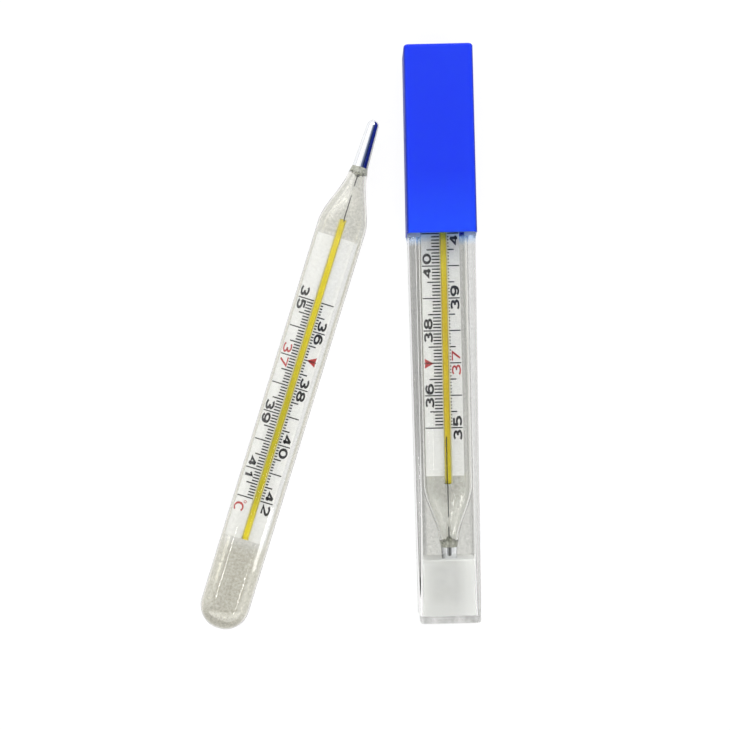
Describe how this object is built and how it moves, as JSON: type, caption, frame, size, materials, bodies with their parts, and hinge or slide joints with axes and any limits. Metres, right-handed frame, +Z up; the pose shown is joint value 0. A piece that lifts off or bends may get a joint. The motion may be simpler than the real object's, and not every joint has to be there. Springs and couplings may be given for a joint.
{
  "type": "clinical thermometer",
  "caption": "Mercury clinical thermometer in an oval glass tube, shown loose and in its clear case with a push-on cap, for taking body temperature.",
  "frame": {"origin": "on the back face of the case, under the middle of the closed case", "axes": "+Y along the case from its base to its cap, +Z up from the table through the scale's front"},
  "size_m": [0.0662, 0.1348, 0.0119],
  "materials": {
    "clear_plastic": "clear moulded plastic",
    "blue_plastic": "smooth moulded plastic",
    "cushion": "milky, soft",
    "tube_glass": "clear",
    "bulb_glass": "clear",
    "seal_glass": "fused",
    "stem_glass": "clear",
    "enamel": "opaque enamel",
    "plate": "milk white",
    "ink": "printed",
    "mercury": "liquid mirror"
  },
  "bodies": {
    "case": {"case_body": "clear_plastic", "case_cushion": "cushion"},
    "cased_thermometer": {"cased_envelope": "tube_glass", "cased_bulb": "bulb_glass", "cased_bulb_mercury": "mercury", "cased_neck_seal": "seal_glass", "cased_neck_tube": "tube_glass", "cased_stem": "stem_glass", "cased_backing": "enamel", "cased_scale_plate": "plate", "cased_scale_marks": "ink", "cased_mercury_thread": "mercury"},
    "cased_mercury": {"cased_mercury_head": "mercury"},
    "cap": {"case_cap": "blue_plastic"},
    "loose_thermometer": {"loose_envelope": "tube_glass", "loose_bulb": "bulb_glass", "loose_bulb_mercury": "mercury", "loose_neck_seal": "seal_glass", "loose_neck_tube": "tube_glass", "loose_stem": "stem_glass", "loose_backing": "enamel", "loose_scale_plate": "plate", "loose_scale_marks": "ink", "loose_mercury_thread": "mercury"},
    "loose_mercury": {"loose_mercury_head": "mercury"}
  },
  "joints": [
    {"name": "thermometer_draw", "type": "slide", "parent": "case", "child": "cased_thermometer", "axis": [0, 1, 0], "range_m": [0, 0.105]},
    {"name": "cap_pull", "type": "slide", "parent": "cased_thermometer", "child": "cap", "axis": [0, 1, 0], "range_m": [0, 0.05]},
    {"name": "cased_mercury_rise", "type": "slide", "parent": "cased_thermometer", "child": "cased_mercury", "axis": [0, 1, 0], "range_m": [0, 0.05492], "deforming": ["cased_mercury_thread"]},
    {"name": "loose_lift", "type": "slide", "parent": "case", "child": "loose_thermometer", "axis": [0, 0, 1], "range_m": [0, 0.1]},
    {"name": "loose_mercury_rise", "type": "slide", "parent": "loose_thermometer", "child": "loose_mercury", "axis": [-0.3156, -0.9489, 0], "range_m": [0, 0.06859], "deforming": ["loose_mercury_thread"]}
  ]
}
